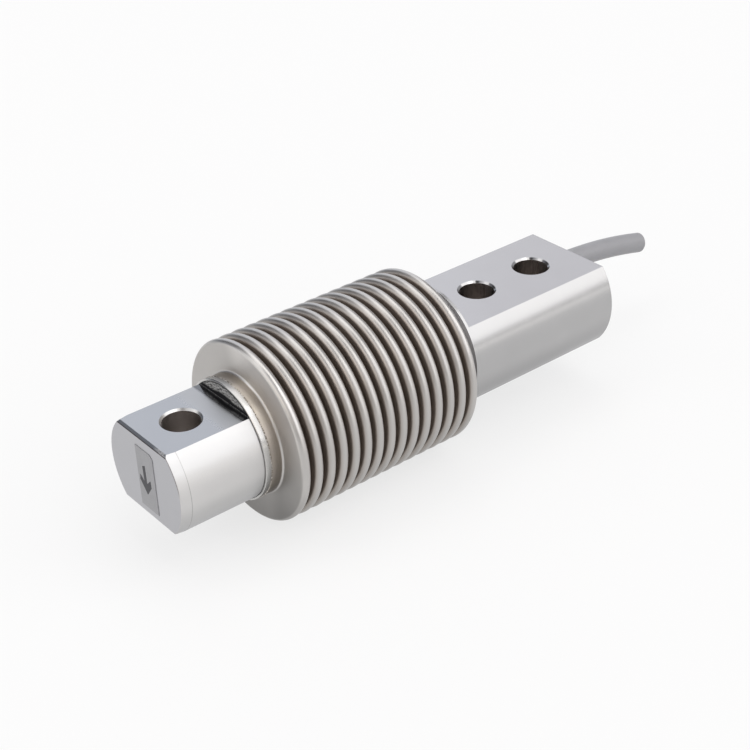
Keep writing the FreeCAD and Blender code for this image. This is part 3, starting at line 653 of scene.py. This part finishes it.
def make_load_arrow(material):
    """The sign on the foil: an arrow that points the way the load acts."""
    bm = bmesh.new()
    foil_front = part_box("load_arrow_label")[1].x / MM
    face = bm.faces.new([bm.verts.new((foil_front, y, AXIS_Z + z)) for y, z in ARROW_OUTLINE])
    raised = bmesh.ops.extrude_face_region(bm, geom=[face])
    lifted = [part for part in raised["geom"] if isinstance(part, bmesh.types.BMVert)]
    bmesh.ops.translate(bm, vec=(ARROW_RAISE, 0, 0), verts=lifted)
    bmesh.ops.recalc_face_normals(bm, faces=bm.faces)
    finished_piece("load_arrow", bm, material, smooth=False)


def make_cable(material):
    """The cable end that the photograph shows, on one smooth curve through the part's own route."""
    curve = bpy.data.curves.new("connection_cable", "CURVE")
    curve.dimensions = "3D"
    curve.bevel_depth = CABLE_D / 2 * MM
    curve.bevel_resolution = 10
    curve.resolution_u = 16
    curve.use_fill_caps = True
    spline = curve.splines.new("NURBS")
    spline.points.add(len(CABLE_ROUTE) - 1)
    for point, (x, z) in zip(spline.points, CABLE_ROUTE):
        point.co = (x * MM, CABLE_Y * MM, z * MM, 1.0)
    spline.order_u = 3
    spline.use_endpoint_u = True
    curve.materials.append(material)
    cable = in_scene("connection_cable", curve)
    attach(cable, BODY)
    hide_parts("cable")


def light_studio():
    """A dim room with soft bright panels, painted on the world as zones with soft edges."""
    world = bpy.data.worlds.new("studio")
    world.use_nodes = True
    bpy.context.scene.world = world
    studio = Finish(world.node_tree)
    ray = studio.node("ShaderNodeTexCoord", out="Generated")
    elevation = studio.math("ARCSINE", studio.node("ShaderNodeSeparateXYZ", None, {0: ray}, "Z"))

    def above(angle, edge):
        """One above that elevation, with a soft edge."""
        return studio.rise(elevation, math.radians(angle) - edge, math.radians(angle) + edge)

    def zone(start, end, low, high, soft):
        """One in the zone, falling off smoothly over its edges."""
        middle = math.radians((start + end) / 2)
        ahead = studio.vector_math("DOT_PRODUCT", ray, (math.cos(middle), math.sin(middle), 0), "Value")
        side = studio.vector_math("DOT_PRODUCT", ray, (-math.sin(middle), math.cos(middle), 0), "Value")
        aside = abs(studio.math("ARCTAN2", side, ahead))
        half = math.radians((end - start) / 2)
        edge = math.radians(soft)
        inside = 1 - studio.rise(aside, half - edge, half + edge)
        return inside * above(low, edge) * (1 - above(high, edge))

    light = ROOM
    for start, end, low, high, soft, colour in ZONES.values():
        light = studio.vector_math("ADD", light, studio.tint(colour, zone(start, end, low, high, soft)))
    studio.feed(world.node_tree.nodes["Background"].inputs["Color"], light)


def paper_floor():
    """Pale paper that takes a shadow and looks white to the camera and in reflections."""
    material, finish, shader = new_finish("paper_floor")
    paper = finish.tint(FLOOR_PAPER, 0.995 + 0.01 * finish.drift(0.02))
    coat(finish, shader, base_color=paper, roughness=0.9)
    shader.inputs["Specular IOR Level"].default_value = 0.0
    seen = finish.node("ShaderNodeLightPath", out="Is Camera Ray")
    for ray in ("Is Glossy Ray", "Is Transmission Ray"):
        seen = finish.math("MAXIMUM", seen, finish.node("ShaderNodeLightPath", out=ray))
    white = finish.node("ShaderNodeEmission", None, {"Color": (1.0, 1.0, 1.0), "Strength": 1.0})
    lit = Value(finish, shader.outputs[0])
    blend = finish.node("ShaderNodeMixShader", None, {0: FLOOR_WHITE_SHARE * seen, 1: lit, 2: white})
    finish.feed(material.node_tree.nodes["Material Output"].inputs["Surface"], blend)
    return material


def make_floor():
    bm = bmesh.new()
    bmesh.ops.create_grid(bm, x_segments=1, y_segments=1, size=FLOOR_SIZE)
    bmesh.ops.translate(bm, vec=(0, 0, FLOOR_Z * MM), verts=bm.verts)
    floor = in_scene("floor", mesh_from(bm, "floor", paper_floor()))


def set_camera():
    """Looks from the photograph's side, with the picture moved by half a pixel."""
    data = bpy.data.cameras.new("camera")
    data.lens = LENS_MM
    data.sensor_width = SENSOR_MM
    data.clip_start = 0.01
    data.shift_x = -0.5 / PICTURE_PX
    camera = in_scene("camera", data)
    back = CAMERA_RIGHT.cross(CAMERA_UP)
    turned = Matrix((CAMERA_RIGHT, CAMERA_UP, back)).transposed().to_4x4()
    camera.matrix_world = Matrix.Translation(CAMERA_PLACE) @ turned
    bpy.context.scene.camera = camera


steel = polished_stainless()
sheet_steel = bellows_stainless()
ring_steel = ring_stainless()
seam = weld_metal()
jacket = grey_jacket()

make_bellows(sheet_steel)
make_weld_seam("front_weld_seam", CUFF_X + SEAM_PROUD, seam)
make_weld_seam("rear_weld_seam", REAR_CUFF_X - SEAM_PROUD, seam)
make_load_arrow(arrow_ink())
make_cable(jacket)

node_finishes = {
    "measuring_beam": steel,
    "bellows": sheet_steel,
    "front_weld_ring": ring_steel,
    "rear_weld_ring": ring_steel,
    "seal_washer": ring_steel,
    "gland_screw": ring_steel,
    "load_arrow_label": grey_foil(),
    "cable": jacket,
    "terminal_board": plain_finish("circuit_board", (0.05, 0.22, 0.10), 0.35),
    "solder_terminals": plain_finish("tinned_brass", (0.70, 0.68, 0.62), 0.30, 1.0),
    "compensation_resistors": plain_finish("dark_chip", (0.04, 0.04, 0.045), 0.5),
    "core_excitation_plus": plain_finish("blue_insulation", (0.04, 0.12, 0.50), 0.45),
    "core_excitation_minus": plain_finish("black_insulation", (0.02, 0.02, 0.02), 0.45),
    "core_signal_plus": plain_finish("white_insulation", (0.80, 0.80, 0.78), 0.45),
    "core_signal_minus": plain_finish("red_insulation", (0.50, 0.03, 0.03), 0.45),
    "potting_plug": plain_finish("sealing_compound", (0.60, 0.58, 0.50), 0.45),
    "cable_seal": plain_finish("black_rubber", (0.03, 0.03, 0.03), 0.6),
}
node_finishes["shield_drain"] = node_finishes["solder_terminals"]
gauge_backing = plain_finish("gauge_backing", (0.55, 0.30, 0.06), 0.25)
copper = plain_finish("enamelled_copper", (0.50, 0.20, 0.08), 0.3, 1.0)
for level in ("upper", "lower"):
    for end in ("front", "rear"):
        node_finishes[f"gauge_{level}_{end}"] = gauge_backing
        node_finishes[f"leads_{level}_{end}"] = copper
for name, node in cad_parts.items():
    node.data.materials.clear()
    node.data.materials.append(node_finishes[name])

light_studio()
make_floor()
set_camera()
bpy.context.scene.view_settings.view_transform = "Standard"
